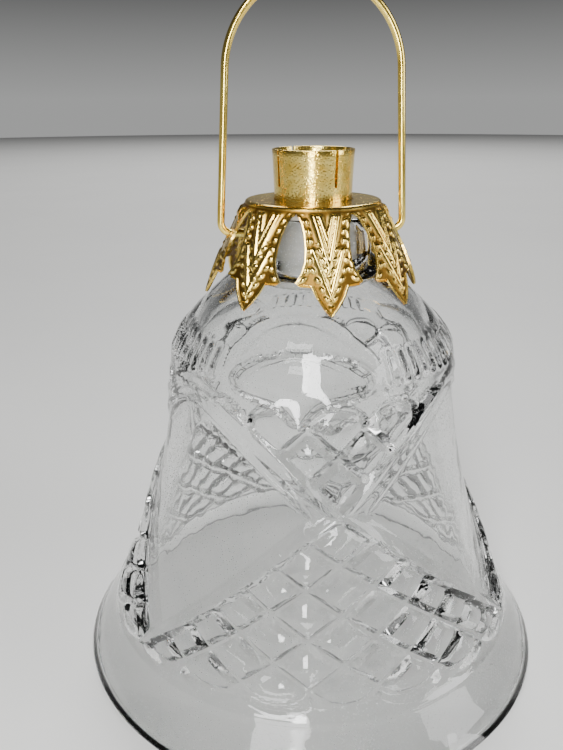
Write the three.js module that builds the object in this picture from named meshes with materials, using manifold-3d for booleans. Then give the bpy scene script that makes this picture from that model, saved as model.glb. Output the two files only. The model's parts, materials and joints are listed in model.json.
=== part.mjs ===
// A bell-shaped ornament in pressed glass. A stamped leaf cap covers the neck, a slit sleeve through the
// cap takes a miniature lamp, and a wire bail hinges in two opposite leaves. Millimetres, +Z up, the rim
// stands on z = 0 and the front is -Y.

import * as THREE from 'three';
import { mergeVertices } from 'three/addons/utils/BufferGeometryUtils.js';
import Module from 'manifold-3d';

const wasm = await Module();
wasm.setup();

// fits
const seatGap = 0.05; // between faces that rest on each other
const slipGap = 0.1; // round a piece that slides into another
const hingeGap = 0.2; // round the bail's ends in their holes
const leafTipGap = 0.5; // between the leaf tips and the glass

// glass body
const rimRadius = 35;
const lipFlare = 0.7; // how much the last few millimetres turn out
const lipFlareHeight = 6;
const wallRows = 12; // rings between the rim and the shoulder
const wallRowPower = 1.3; // closer together near the rim
const lipRound = 0.45; // radius of the rim's outer edge
const lipWall = 1.7;
const bodyWall = 3;
const wallBlendHeight = 9; // height over which the lip's wall grows to the body's
const shoulderRadius = 19.95;
const shoulderHeight = 47.25;
const flareShare = 0.3; // share of the flare that is a straight cone
const flarePower = 2.19; // curve of the rest
const domeHeight = 12.9; // shoulder to the foot of the neck
const domeStart = point(-0.95, 3.75); // the dome's curve leaves the shoulder towards this
const domeEnd = point(4, -3.7); // and comes into the neck from this
const innerDomeStart = point(3, -2.4); // the same inside, from the liner's seat
const innerDomeEnd = point(-0.7, 4.15); // and into the wall
const innerDomeDrop = 1.2; // top of the inner wall, below the shoulder
const seatClearance = 0.5; // round the liner's flange on its seat
const neckRound = 0.4; // bevel on the neck's top edges
const neckLength = 5.15;
const neckWall = 1.75;
const neckLedgeDepth = 3.15; // the liner's seat, below the foot of the neck

// sleeve that takes the lamp
const lampBore = 4.85; // radius
const sleeveWall = 0.35;
const sleeveHeight = 6.4; // above the cap
const sleeveSpread = 0.25; // how much wider the top is
const sleeveStem = 9; // below the cap
const sleeveFlange = 2.2; // width of the collar under the cap
const sleeveFlangeThickness = 0.4;
const slitCount = 4;
const slitWidth = 0.45;
const slitDepth = 4.6;
const slitTurn = THREE.MathUtils.degToRad(24); // first slit, from the front towards +X

// gasket and liner
const gasketThickness = 0.9;
const linerWall = 0.85;
const linerFlange = 1.3;
const linerFlangeThickness = 1.2;
const linerBevel = 0.3; // on the flange's lower edge

// leaf cap
const sheet = 0.4;
const plateOverhang = 1.2; // plate beyond the neck
const plateRound = 0.5;
const plateSoften = 0.12; // how early the top face starts to turn down
const leafSlit = 0.02; // half the least gap between two leaves
const leafCount = 8;
const leafDrop = 12.2; // leaf tips, below the top of the plate
const leafSwell = point(0.5, 0.28); // how far out and up the leaves bulge from a straight cone
const leafHalfWidths = [ // share of the drop, half the leaf's width there
  [0.05, 3.62],
  [0.09, 3.25],
  [0.16, 2.95],
  [0.25, 2.78],
  [0.38, 2.75],
  [0.5, 2.9],
  [0.6, 3.35],
  [0.705, 4.25],
  [0.715, 2.4],
  [0.82, 1.85],
  [0.92, 1.05],
  [1, 0.15],
];

// bail
const wireRadius = 0.5;
const bailArchRadius = 11.3;
const bailRise = 31.2; // pivot to the middle of the wire at the top
const bailPivotDrop = 4.4; // pivot, below the top of the cap's plate
const bailStandoff = 1; // the legs' middle, outside the leaves they hinge in
const bailBend = 1.5; // radius of the turned-in corners
const bailReach = 2; // the ends, inside the leaves

// what follows from the sizes above
const stemRadius = lampBore + sleeveWall;
const linerBore = stemRadius + slipGap;
const linerRadius = linerBore + linerWall;
const neckBore = linerRadius + slipGap;
const neckRadius = neckBore + neckWall;
const neckFoot = shoulderHeight + domeHeight;
const neckTop = neckFoot + neckLength;
const neckLedge = neckFoot - neckLedgeDepth;
const gasketBottom = neckTop + seatGap;
const gasketTop = gasketBottom + gasketThickness;
const sleeveFlangeBottom = gasketTop + seatGap;
const sleeveFlangeTop = sleeveFlangeBottom + sleeveFlangeThickness;
const plateBottom = sleeveFlangeTop + seatGap;
const plateTop = plateBottom + sheet;
const plateRadius = neckRadius + plateOverhang;
const leafTipHeight = plateTop - leafDrop;
const pivotHeight = plateTop - bailPivotDrop;

function point(r, z) {
  return new THREE.Vector2(r, z);
}

// A closed ring: the outline is turned about Z, and closes on itself.
function turned(outline, sides) {
  const closed = [...outline, outline[0]];
  const ring = new THREE.LatheGeometry(closed, sides);
  ring.rotateX(Math.PI / 2);
  return ring;
}

function solidFrom(geometry) {
  const bare = geometry.clone();
  bare.deleteAttribute('normal');
  bare.deleteAttribute('uv');
  const welded = mergeVertices(bare, 1e-4);
  const vertProperties = new Float32Array(welded.attributes.position.array);
  const triVerts = new Uint32Array(welded.index.array);
  return new wasm.Manifold(new wasm.Mesh({ numProp: 3, vertProperties, triVerts }));
}

function geometryFrom(solid) {
  const mesh = solid.getMesh();
  const geometry = new THREE.BufferGeometry();
  geometry.setAttribute('position', new THREE.BufferAttribute(mesh.vertProperties, 3));
  geometry.setIndex(new THREE.BufferAttribute(mesh.triVerts, 1));
  geometry.computeVertexNormals();
  return geometry;
}

function cutAway(body, cutters) {
  let solid = solidFrom(body);
  for (const cutter of cutters) {
    solid = solid.subtract(solidFrom(cutter));
  }
  return geometryFrom(solid);
}

// Outer radius of the flared wall at height z, up to the shoulder.
function flareRadius(z) {
  const left = 1 - Math.max(z - lipRound, 0) / (shoulderHeight - lipRound);
  const shape = flareShare * left + (1 - flareShare) * left ** flarePower;
  const turnOut = lipFlare * Math.max(1 - (z - lipRound) / lipFlareHeight, 0) ** 2;
  return shoulderRadius + (rimRadius - lipFlare - shoulderRadius) * shape + turnOut;
}

function wallAt(z) {
  const blend = THREE.MathUtils.smoothstep(z, 0, wallBlendHeight);
  return THREE.MathUtils.lerp(lipWall, bodyWall, blend);
}

function domeCurve() {
  return new THREE.CubicBezierCurve(
    point(shoulderRadius, shoulderHeight),
    point(shoulderRadius, shoulderHeight).add(domeStart),
    point(neckRadius, neckFoot).add(domeEnd),
    point(neckRadius, neckFoot),
  );
}

function domeRadiusAt(z) {
  const line = domeCurve().getPoints(60);
  const above = line.findIndex((p) => p.y >= z);
  const low = line[Math.max(above - 1, 0)];
  const high = line[above];
  return THREE.MathUtils.mapLinear(z, low.y, high.y, low.x, high.x);
}

function glassBell() {
  const wallHeights = Array.from({ length: wallRows + 1 }, (_, i) => (i / wallRows) ** wallRowPower);
  const footOuter = rimRadius - lipRound;
  const footInner = footOuter - lipWall + 2 * lipRound;
  const lip = new THREE.EllipseCurve(footOuter, lipRound, lipRound, lipRound, -Math.PI / 2, 0);
  const outer = wallHeights.map((t) => THREE.MathUtils.lerp(lipRound, shoulderHeight, t));
  const innerTop = shoulderHeight - innerDomeDrop;
  const inner = wallHeights.map((t) => THREE.MathUtils.lerp(lipRound, innerTop, t)).reverse();
  const innerTopRadius = flareRadius(innerTop) - bodyWall;
  const ledgeRadius = linerRadius + linerFlange + seatClearance;
  const innerDome = new THREE.CubicBezierCurve(
    point(ledgeRadius, neckLedge),
    point(ledgeRadius, neckLedge).add(innerDomeStart),
    point(innerTopRadius, innerTop).add(innerDomeEnd),
    point(innerTopRadius, innerTop),
  );
  const outline = [
    point(footInner, 0),
    ...lip.getPoints(3),
    ...outer.slice(1).map((z) => point(flareRadius(z), z)),
    ...domeCurve().getPoints(7).slice(1),
    point(neckRadius, neckTop - neckRound),
    point(neckRadius - neckRound, neckTop),
    point(neckBore + neckRound, neckTop),
    point(neckBore, neckTop - neckRound),
    point(neckBore, neckLedge),
    ...innerDome.getPoints(6),
    ...inner.slice(1).map((z) => point(flareRadius(z) - wallAt(z), z)),
  ];
  return turned(outline, 60);
}

// The cap's outside from the plate's edge to the leaf tips.
function leafCurve() {
  const edge = point(plateRadius, plateTop - plateRound);
  const tipRadius = domeRadiusAt(leafTipHeight) + leafTipGap + sheet;
  const tip = point(tipRadius, leafTipHeight);
  const middle = edge.clone().lerp(tip, 0.5);
  return new THREE.QuadraticBezierCurve(edge, middle.add(leafSwell), tip);
}

function leafRadiusAt(drop) {
  const line = leafCurve().getPoints(60);
  const z = Math.min(plateTop - drop, line[0].y);
  const below = Math.max(line.findIndex((p) => p.y <= z + 1e-9), 1);
  return THREE.MathUtils.mapLinear(z, line[below - 1].y, line[below].y, line[below - 1].x, line[below].x);
}

// The gap between two leaves, as an outline across and up, pushed out from the middle of the cap.
function leafGap(index) {
  const halfPitch = Math.PI / leafCount;
  const side = leafHalfWidths.map(([share, half]) => {
    const drop = share * leafDrop;
    const r = leafRadiusAt(drop);
    const across = r * Math.sin(halfPitch - Math.asin(half / r));
    return point(Math.max(across, leafSlit), plateTop - drop);
  });
  const lowest = side[side.length - 1];
  const right = [...side, point(lowest.x, leafTipHeight - 1)];
  const left = right.map((p) => point(-p.x, p.y)).reverse();
  const gap = new THREE.ExtrudeGeometry(new THREE.Shape([...left, ...right]), {
    depth: 2 * plateRadius,
    bevelEnabled: false,
  });
  gap.translate(0, 0, neckRadius);
  gap.rotateX(Math.PI / 2);
  gap.rotateZ((index + 0.5) * 2 * halfPitch);
  return gap;
}

function leafCap() {
  const line = leafCurve();
  const steps = 7;
  const outside = line.getPoints(steps);
  const inside = outside.map((p, i) => {
    const along = line.getTangent(i / steps);
    return point(p.x + along.y * sheet, p.y - along.x * sheet);
  });
  const holeRadius = stemRadius + slipGap;
  const corner = new THREE.QuadraticBezierCurve(
    point(plateRadius - plateRound, plateTop),
    point(plateRadius - plateSoften, plateTop),
    outside[0],
  );
  const outline = [
    point(holeRadius, plateBottom),
    point(plateRadius - plateRound, plateBottom),
    ...inside,
    ...outside.slice(1).reverse(),
    ...corner.getPoints(3).reverse(),
    point(holeRadius, plateTop),
  ];
  const holes = new THREE.CylinderGeometry(wireRadius + hingeGap, wireRadius + hingeGap, 4 * plateRadius, 12);
  holes.rotateZ(Math.PI / 2);
  holes.translate(0, 0, pivotHeight);
  const gaps = Array.from({ length: leafCount }, (_, i) => leafGap(i));
  return cutAway(turned(outline, 48), [...gaps, holes]);
}

function socketSleeve() {
  const base = plateTop;
  const top = plateTop + sleeveHeight;
  const stemBottom = plateTop - sleeveStem;
  const outline = [
    point(lampBore, stemBottom),
    point(stemRadius, stemBottom),
    point(stemRadius, sleeveFlangeBottom),
    point(stemRadius + sleeveFlange, sleeveFlangeBottom),
    point(stemRadius + sleeveFlange, sleeveFlangeTop),
    point(stemRadius, sleeveFlangeTop),
    point(stemRadius, base),
    point(stemRadius + sleeveSpread, top),
    point(lampBore + sleeveSpread, top),
    point(lampBore, base),
  ];
  const slits = Array.from({ length: slitCount }, (_, i) => {
    const slit = new THREE.BoxGeometry(slitWidth, 4 * sleeveWall + 2, slitDepth + 1);
    slit.translate(0, -(stemRadius + sleeveSpread / 2), top - slitDepth + (slitDepth + 1) / 2);
    slit.rotateZ(slitTurn + (i * 2 * Math.PI) / slitCount);
    return slit;
  });
  return cutAway(turned(outline, 48), slits);
}

function capGasket() {
  const outline = [
    point(neckBore, gasketBottom),
    point(neckRadius, gasketBottom),
    point(neckRadius, gasketTop),
    point(neckBore, gasketTop),
  ];
  return turned(outline, 48);
}

function neckLiner() {
  const top = neckTop - seatGap;
  const flangeTop = neckLedge - seatGap;
  const bottom = flangeTop - linerFlangeThickness;
  const outline = [
    point(linerBore, bottom),
    point(linerRadius + linerFlange - linerBevel, bottom),
    point(linerRadius + linerFlange, bottom + linerBevel),
    point(linerRadius + linerFlange, flangeTop),
    point(linerRadius, flangeTop),
    point(linerRadius, top),
    point(linerBore, top),
  ];
  return turned(outline, 48);
}

// One leg runs from its end inside the leaf, out, round the corner and up to the arch.
function bailLine() {
  const leafRadius = leafRadiusAt(bailPivotDrop);
  const legFoot = leafRadius + bailStandoff;
  const archHeight = bailRise - bailArchRadius;
  const legTop = new THREE.Vector3(bailArchRadius, 0, archHeight);
  const corner = new THREE.Vector3(legFoot, 0, 0);
  const legWay = legTop.clone().sub(corner).normalize();
  const start = new THREE.Vector3(leafRadius - bailReach, 0, 0);
  const bendStart = new THREE.Vector3(legFoot - bailBend, 0, 0);
  const bendEnd = corner.clone().addScaledVector(legWay, bailBend);
  const mirror = (v) => new THREE.Vector3(-v.x, v.y, v.z);
  const handle = archHeight + bailArchRadius * 4 / 3;
  const line = new THREE.CurvePath();
  line.add(new THREE.LineCurve3(start, bendStart));
  line.add(new THREE.QuadraticBezierCurve3(bendStart, corner, bendEnd));
  line.add(new THREE.LineCurve3(bendEnd, legTop));
  line.add(new THREE.CubicBezierCurve3(
    legTop,
    new THREE.Vector3(bailArchRadius, 0, handle),
    new THREE.Vector3(-bailArchRadius, 0, handle),
    mirror(legTop),
  ));
  line.add(new THREE.LineCurve3(mirror(legTop), mirror(bendEnd)));
  line.add(new THREE.QuadraticBezierCurve3(mirror(bendEnd), mirror(corner), mirror(bendStart)));
  line.add(new THREE.LineCurve3(mirror(bendStart), mirror(start)));
  return line;
}

function bailWire() {
  const section = new THREE.Shape();
  section.absarc(0, 0, wireRadius, 0, 2 * Math.PI);
  return new THREE.ExtrudeGeometry(section, {
    extrudePath: bailLine(),
    steps: 90,
    curveSegments: 5,
    bevelEnabled: false,
  });
}

function addPart(parent, name, geometry, looks) {
  const mesh = new THREE.Mesh(geometry, new THREE.MeshStandardMaterial(looks));
  mesh.name = name;
  parent.add(mesh);
  return mesh;
}

const group = new THREE.Group();
addPart(group, 'glass_bell', glassBell(), { color: 0xdfe6e4, roughness: 0.05, transparent: true, opacity: 0.4 });
addPart(group, 'leaf_cap', leafCap(), { color: 0xb98a2e, roughness: 0.35, metalness: 1 });
addPart(group, 'socket_sleeve', socketSleeve(), { color: 0xd6ae4a, roughness: 0.3, metalness: 1 });
addPart(group, 'cap_gasket', capGasket(), { color: 0xcfc8b4, roughness: 0.8 });
addPart(group, 'neck_liner', neckLiner(), { color: 0xe9e8e1, roughness: 0.5 });

const bail = new THREE.Group();
bail.position.z = pivotHeight;
group.add(bail);
addPart(bail, 'bail_wire', bailWire(), { color: 0xe0b850, roughness: 0.2, metalness: 1 });

export default group;
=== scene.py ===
# Pressed-glass bell ornament: clear cut bell, stamped leaf cap, slit lamp sleeve and wire bail.
# Metres round the bell's axis in Blender, sizes below in millimetres.
# The rim stands on z = 0 and the front is -Y.
import json
import math

import bpy
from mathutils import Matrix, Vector


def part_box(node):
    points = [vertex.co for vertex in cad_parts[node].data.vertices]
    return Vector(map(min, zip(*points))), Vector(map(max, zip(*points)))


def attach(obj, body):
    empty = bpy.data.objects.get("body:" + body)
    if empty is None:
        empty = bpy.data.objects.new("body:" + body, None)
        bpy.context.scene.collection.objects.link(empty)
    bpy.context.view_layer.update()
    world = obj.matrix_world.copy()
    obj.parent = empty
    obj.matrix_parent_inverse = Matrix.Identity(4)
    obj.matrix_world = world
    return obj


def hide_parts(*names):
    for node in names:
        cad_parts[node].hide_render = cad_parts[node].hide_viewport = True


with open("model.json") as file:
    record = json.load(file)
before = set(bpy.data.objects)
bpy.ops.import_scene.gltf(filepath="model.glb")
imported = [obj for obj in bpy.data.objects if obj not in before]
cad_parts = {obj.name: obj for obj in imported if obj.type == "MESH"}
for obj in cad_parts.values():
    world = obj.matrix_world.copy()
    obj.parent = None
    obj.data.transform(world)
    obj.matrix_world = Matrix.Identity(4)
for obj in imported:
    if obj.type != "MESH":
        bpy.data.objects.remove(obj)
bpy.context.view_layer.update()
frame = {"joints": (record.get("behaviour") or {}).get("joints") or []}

mm = 0.001
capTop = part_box("leaf_cap")[1][2] / mm
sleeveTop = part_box("socket_sleeve")[1][2] / mm
linerLow, linerHigh = [corner[2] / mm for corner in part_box("neck_liner")]
gasketLow, gasketHigh = [corner[2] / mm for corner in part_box("cap_gasket")]
pivotHeight = frame["joints"][0]["pos_m"][2] / mm


# small tools for modelling

def clearSelection():
    if bpy.context.object and bpy.context.object.mode != "OBJECT":
        bpy.ops.object.mode_set(mode="OBJECT")
    bpy.ops.object.select_all(action="DESELECT")


def makeActive(piece):
    clearSelection()
    piece.select_set(True)
    bpy.context.view_layer.objects.active = piece


def smoothStep(low, high, value):
    share = min(max((value - low) / (high - low), 0.0), 1.0)
    return share * share * (3 - 2 * share)


def bezier(points, t):
    weights = ((1 - t) ** 3, 3 * (1 - t) ** 2 * t, 3 * (1 - t) * t * t, t ** 3)
    return tuple(sum(w * p[axis] for w, p in zip(weights, points)) for axis in (0, 1))


# one point drawn out along a closed outline of (radius, height), then spun round Z
def spinOutline(name, outline, steps):
    clearSelection()
    bpy.ops.mesh.primitive_plane_add(size=mm)
    piece = bpy.context.object
    piece.name = name
    bpy.ops.object.mode_set(mode="EDIT")
    bpy.ops.mesh.select_mode(type="VERT")
    bpy.ops.mesh.select_all(action="SELECT")
    bpy.ops.mesh.merge(type="CENTER")
    bpy.ops.transform.translate(value=(outline[0][0] * mm, 0, outline[0][1] * mm))
    for here, there in zip(outline, outline[1:] + outline[:1]):
        step = ((there[0] - here[0]) * mm, 0, (there[1] - here[1]) * mm)
        bpy.ops.mesh.extrude_region_move(TRANSFORM_OT_translate={"value": step})
    bpy.ops.mesh.select_all(action="SELECT")
    bpy.ops.mesh.remove_doubles(threshold=0.001 * mm)
    bpy.ops.mesh.select_all(action="SELECT")
    bpy.ops.mesh.spin(steps=steps, angle=2 * math.pi, center=(0, 0, 0), axis=(0, 0, 1))
    bpy.ops.mesh.select_all(action="SELECT")
    bpy.ops.mesh.remove_doubles(threshold=0.001 * mm)
    bpy.ops.mesh.normals_make_consistent(inside=False)
    bpy.ops.object.mode_set(mode="OBJECT")
    return piece


def cutWith(piece, cutter):
    makeActive(piece)
    cut = piece.modifiers.new("cut", "BOOLEAN")
    cut.object = cutter
    cut.operation = "DIFFERENCE"
    cut.solver = "EXACT"
    bpy.ops.object.modifier_apply(modifier=cut.name)
    bpy.data.objects.remove(cutter)


def finishPiece(piece, body, node, material, smoothAngle=None):
    makeActive(piece)
    bpy.ops.object.transform_apply(location=True, rotation=True, scale=True)
    if smoothAngle is None:
        bpy.ops.object.shade_smooth()
    else:
        bpy.ops.object.shade_smooth_by_angle(angle=math.radians(smoothAngle))
    piece.data.materials.clear()
    piece.data.materials.append(material)
    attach(piece, body)
    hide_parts(node)
    print("made", piece.name, len(piece.data.polygons), "faces")


# small tools for shaders

def addNode(tree, kind, **settings):
    node = tree.nodes.new(kind)
    for key, value in settings.items():
        if key in node.inputs:
            node.inputs[key].default_value = value
        else:
            setattr(node, key, value)
    return node


def join(tree, source, target, sourceName=0, targetName=0):
    tree.links.new(source.outputs[sourceName], target.inputs[targetName])


def newGroup(name, takes, gives):
    group = bpy.data.node_groups.new(name, "ShaderNodeTree")
    for label, kind, value in takes:
        socket = group.interface.new_socket(name=label, in_out="INPUT", socket_type=kind)
        if value is not None:
            socket.default_value = value
    for label, kind in gives:
        group.interface.new_socket(name=label, in_out="OUTPUT", socket_type=kind)
    return group, group.nodes.new("NodeGroupInput"), group.nodes.new("NodeGroupOutput")


def newMaterial(name):
    material = bpy.data.materials.new(name)
    material.use_nodes = True
    tree = material.node_tree
    tree.nodes.clear()
    output = tree.nodes.new("ShaderNodeOutputMaterial")
    shader = tree.nodes.new("ShaderNodeBsdfPrincipled")
    join(tree, shader, output)
    place = tree.nodes.new("ShaderNodeTexCoord")
    return material, tree, shader, place


# finger smudges, dust and fine scratches, as masks
def smudgeGroup():
    group, takes, gives = newGroup(
        "handlingMarks",
        [("Vector", "NodeSocketVector", None), ("Smudge Scale", "NodeSocketFloat", 90.0),
         ("Dust Scale", "NodeSocketFloat", 2600.0), ("Scratch Scale", "NodeSocketFloat", 260.0)],
        [("Smudge", "NodeSocketFloat"), ("Dust", "NodeSocketFloat"), ("Scratch", "NodeSocketFloat")])
    smudge = addNode(group, "ShaderNodeTexNoise", Detail=5.0, Roughness=0.6, Distortion=0.8)
    smudgeRange = addNode(group, "ShaderNodeMapRange", **{"From Min": 0.48, "From Max": 0.72})
    dust = addNode(group, "ShaderNodeTexVoronoi", feature="F1")
    dustSize = addNode(group, "ShaderNodeTexNoise", Detail=2.0)
    dustLimit = addNode(group, "ShaderNodeMath", operation="MULTIPLY")
    dustLimit.inputs[1].default_value = 0.32
    dustMask = addNode(group, "ShaderNodeMath", operation="LESS_THAN")
    stretch = addNode(group, "ShaderNodeMapping", Rotation=(0.4, 0.9, 0.3), Scale=(1.0, 14.0, 1.0))
    scratch = addNode(group, "ShaderNodeTexNoise", Detail=1.0, Roughness=0.4)
    scratchRange = addNode(group, "ShaderNodeMapRange", **{"From Min": 0.66, "From Max": 0.72})
    join(group, takes, smudge, "Vector", "Vector")
    join(group, takes, smudge, "Smudge Scale", "Scale")
    join(group, smudge, smudgeRange, "Fac", "Value")
    join(group, smudgeRange, gives, "Result", "Smudge")
    join(group, takes, dust, "Vector", "Vector")
    join(group, takes, dust, "Dust Scale", "Scale")
    join(group, takes, dustSize, "Vector", "Vector")
    join(group, takes, dustSize, "Smudge Scale", "Scale")
    join(group, dustSize, dustLimit, "Fac")
    join(group, dust, dustMask, "Distance")
    join(group, dustLimit, dustMask, 0, 1)
    join(group, dustMask, gives, 0, "Dust")
    join(group, takes, stretch, "Vector", "Vector")
    join(group, stretch, scratch, "Vector", "Vector")
    join(group, takes, scratch, "Scratch Scale", "Scale")
    join(group, scratch, scratchRange, "Fac", "Value")
    join(group, scratchRange, gives, "Result", "Scratch")
    return group


# plated gold: colour that drifts, dark brown in the small pits and as painted shade where the piece asks for
# it, and grain
def goldGroup():
    group, takes, gives = newGroup(
        "platedGold",
        [("Vector", "NodeSocketVector", None), ("Bright", "NodeSocketColor", (0.9, 0.66, 0.28, 1)),
         ("Deep", "NodeSocketColor", (0.55, 0.33, 0.1, 1)),
         ("Pit And Shade Colour", "NodeSocketColor", (0.1, 0.05, 0.03, 1)),
         ("Painted Shade", "NodeSocketFloat", 0.0), ("Drift Scale", "NodeSocketFloat", 140.0),
         ("Grain Scale", "NodeSocketFloat", 1500.0), ("Pit Scale", "NodeSocketFloat", 1900.0),
         ("Pit Share", "NodeSocketFloat", 0.3)],
        [("Colour", "NodeSocketColor"), ("Rough", "NodeSocketFloat"), ("Height", "NodeSocketFloat")])
    drift = addNode(group, "ShaderNodeTexNoise", Detail=4.0, Roughness=0.55)
    grain = addNode(group, "ShaderNodeTexNoise", Detail=3.0, Roughness=0.6)
    pits = addNode(group, "ShaderNodeTexVoronoi", feature="F1", Randomness=1.0)
    pitMask = addNode(group, "ShaderNodeMapRange", **{"From Min": 0.0, "To Min": 1.0, "To Max": 0.0})
    toneMix = addNode(group, "ShaderNodeMix", data_type="RGBA")
    pitAndShadeMix = addNode(group, "ShaderNodeMix", data_type="RGBA")
    driftRange = addNode(group, "ShaderNodeMapRange", **{"From Min": 0.35, "From Max": 0.68})
    join(group, takes, drift, "Vector", "Vector")
    join(group, takes, drift, "Drift Scale", "Scale")
    join(group, takes, grain, "Vector", "Vector")
    join(group, takes, grain, "Grain Scale", "Scale")
    join(group, takes, pits, "Vector", "Vector")
    join(group, takes, pits, "Pit Scale", "Scale")
    join(group, pits, pitMask, "Distance", "Value")
    join(group, takes, pitMask, "Pit Share", "From Max")
    join(group, drift, driftRange, "Fac", "Value")
    join(group, driftRange, toneMix, "Result", 0)
    join(group, takes, toneMix, "Bright", 6)
    join(group, takes, toneMix, "Deep", 7)
    # the dark brown gathers in the pits, and as painted shade where the piece asks for it
    gather = addNode(group, "ShaderNodeMath", operation="MULTIPLY_ADD", use_clamp=True)
    gather.inputs[1].default_value = 0.45
    join(group, pitMask, gather, "Result", 0)
    join(group, takes, gather, "Painted Shade", 2)
    join(group, gather, pitAndShadeMix, 0, 0)
    join(group, toneMix, pitAndShadeMix, 2, 6)
    join(group, takes, pitAndShadeMix, "Pit And Shade Colour", 7)
    join(group, pitAndShadeMix, gives, 2, "Colour")
    rough = addNode(group, "ShaderNodeMath", operation="MULTIPLY_ADD")
    rough.inputs[1].default_value = 0.3
    roughBase = addNode(group, "ShaderNodeMapRange", **{"To Min": 0.08, "To Max": 0.24})
    join(group, grain, roughBase, "Fac", "Value")
    join(group, gather, rough, 0, 0)
    join(group, roughBase, rough, "Result", 2)
    join(group, rough, gives, 0, "Rough")
    height = addNode(group, "ShaderNodeMath", operation="SUBTRACT")
    join(group, grain, height, "Fac", 0)
    join(group, pitMask, height, "Result", 1)
    join(group, height, gives, 0, "Height")
    return group


handlingMarks = smudgeGroup()
platedGold = goldGroup()


def placeGroup(tree, group, place, **settings):
    node = tree.nodes.new("ShaderNodeGroup")
    node.node_tree = group
    for key, value in settings.items():
        node.inputs[key].default_value = value
    join(tree, place, node, "Object", "Vector")
    return node


# materials

def clearGlass():
    material, tree, shader, place = newMaterial("clear_glass")
    shader.inputs["Transmission Weight"].default_value = 1.0
    shader.inputs["IOR"].default_value = 1.54
    marks = placeGroup(tree, handlingMarks, place, **{"Smudge Scale": 110.0, "Dust Scale": 2300.0})
    tint = addNode(tree, "ShaderNodeMix", data_type="RGBA")
    tint.inputs[6].default_value = (0.985, 0.99, 0.985, 1)
    tint.inputs[7].default_value = (0.93, 0.945, 0.94, 1)
    join(tree, marks, tint, "Smudge", 0)
    join(tree, tint, shader, 2, "Base Color")
    haze = addNode(tree, "ShaderNodeMath", operation="MULTIPLY_ADD")
    haze.inputs[1].default_value = 0.05
    haze.inputs[2].default_value = 0.006
    join(tree, marks, haze, "Smudge", 0)
    dusty = addNode(tree, "ShaderNodeMath", operation="MULTIPLY_ADD")
    dusty.inputs[1].default_value = 0.35
    join(tree, marks, dusty, "Dust", 0)
    join(tree, haze, dusty, 0, 2)
    join(tree, dusty, shader, 0, "Roughness")
    ripple = addNode(tree, "ShaderNodeTexNoise", Scale=170.0, Detail=2.0)
    join(tree, place, ripple, "Object", "Vector")
    bump = addNode(tree, "ShaderNodeBump", Strength=0.25, Distance=0.0003)
    join(tree, ripple, bump, "Fac", "Height")
    join(tree, bump, shader, "Normal", "Normal")
    return material


def stampedBrass():
    material, tree, shader, place = newMaterial("stamped_brass")
    shader.inputs["Metallic"].default_value = 1.0
    # painted shade: the relief attribute darkens low, flat sheet between the stamped rims, ribs and beads to
    # dark brown, while the raised stamping stays bright
    relief = addNode(tree, "ShaderNodeAttribute", attribute_name="relief")
    hollowShade = addNode(tree, "ShaderNodeMapRange", **{"From Min": 0.42, "From Max": 0.0, "To Max": 0.95})
    join(tree, relief, hollowShade, "Fac", "Value")
    gold = placeGroup(tree, platedGold, place, **{
        "Grain Scale": 2200.0, "Pit Scale": 2600.0, "Pit Share": 0.22})
    gold.inputs["Bright"].default_value = (1.0, 0.76, 0.2, 1)
    gold.inputs["Deep"].default_value = (0.86, 0.53, 0.09, 1)
    gold.inputs["Pit And Shade Colour"].default_value = (0.14, 0.066, 0.008, 1)
    join(tree, hollowShade, gold, "Result", "Painted Shade")
    join(tree, gold, shader, "Colour", "Base Color")
    join(tree, gold, shader, "Rough", "Roughness")
    bump = addNode(tree, "ShaderNodeBump", Strength=0.35, Distance=0.00006)
    join(tree, gold, bump, "Height", "Height")
    join(tree, bump, shader, "Normal", "Normal")
    return material


def sleeveGold():
    material, tree, shader, place = newMaterial("gold_sleeve")
    shader.inputs["Metallic"].default_value = 1.0
    gold = placeGroup(tree, platedGold, place, **{
        "Grain Scale": 2400.0, "Pit Scale": 3200.0, "Pit Share": 0.5, "Drift Scale": 620.0})
    gold.inputs["Bright"].default_value = (1.0, 0.78, 0.22, 1)
    gold.inputs["Deep"].default_value = (0.84, 0.55, 0.08, 1)
    gold.inputs["Pit And Shade Colour"].default_value = (0.2, 0.09, 0.015, 1)
    join(tree, gold, shader, "Colour", "Base Color")
    join(tree, gold, shader, "Rough", "Roughness")
    bump = addNode(tree, "ShaderNodeBump", Strength=0.4, Distance=0.00005)
    join(tree, gold, bump, "Height", "Height")
    join(tree, bump, shader, "Normal", "Normal")
    return material


def wireGold():
    material, tree, shader, place = newMaterial("gold_wire")
    shader.inputs["Metallic"].default_value = 1.0
    gold = placeGroup(tree, platedGold, place, **{
        "Grain Scale": 900.0, "Pit Scale": 700.0, "Pit Share": 0.12, "Drift Scale": 200.0})
    gold.inputs["Bright"].default_value = (1.0, 0.79, 0.2, 1)
    gold.inputs["Deep"].default_value = (0.9, 0.6, 0.1, 1)
    gold.inputs["Pit And Shade Colour"].default_value = (0.25, 0.12, 0.02, 1)
    marks = placeGroup(tree, handlingMarks, place, **{"Smudge Scale": 160.0})
    blur = addNode(tree, "ShaderNodeMath", operation="MULTIPLY_ADD")
    blur.inputs[1].default_value = 0.12
    join(tree, marks, blur, "Scratch", 0)
    join(tree, gold, blur, "Rough", 2)
    join(tree, gold, shader, "Colour", "Base Color")
    join(tree, blur, shader, 0, "Roughness")
    bump = addNode(tree, "ShaderNodeBump", Strength=0.2, Distance=0.00004)
    join(tree, gold, bump, "Height", "Height")
    join(tree, bump, shader, "Normal", "Normal")
    return material


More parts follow.
